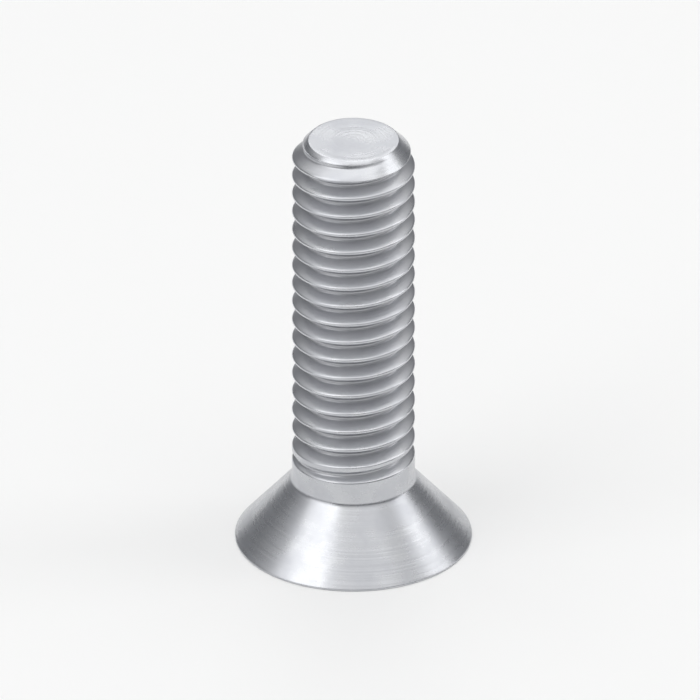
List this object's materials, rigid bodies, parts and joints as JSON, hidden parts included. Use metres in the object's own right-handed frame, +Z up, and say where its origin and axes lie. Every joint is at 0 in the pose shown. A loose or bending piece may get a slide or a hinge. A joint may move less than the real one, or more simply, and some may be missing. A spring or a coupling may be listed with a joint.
{
  "type": "countersunk screw",
  "caption": "Flat countersunk machine screw with a right-hand thread along its shank, a chamfered tip and a hexagon socket in the flat of its head.",
  "frame": {"origin": "centre of the head's flat face, which the screw stands on", "axes": "+Z up the shank from the head to the tip; two of the socket's flats face +Y and -Y"},
  "size_m": [0.0184, 0.0184, 0.0349],
  "materials": {
    "steel": "bright zinc plate with faint turning marks"
  },
  "bodies": {
    "root": {"screw": "steel"}
  },
  "joints": []
}
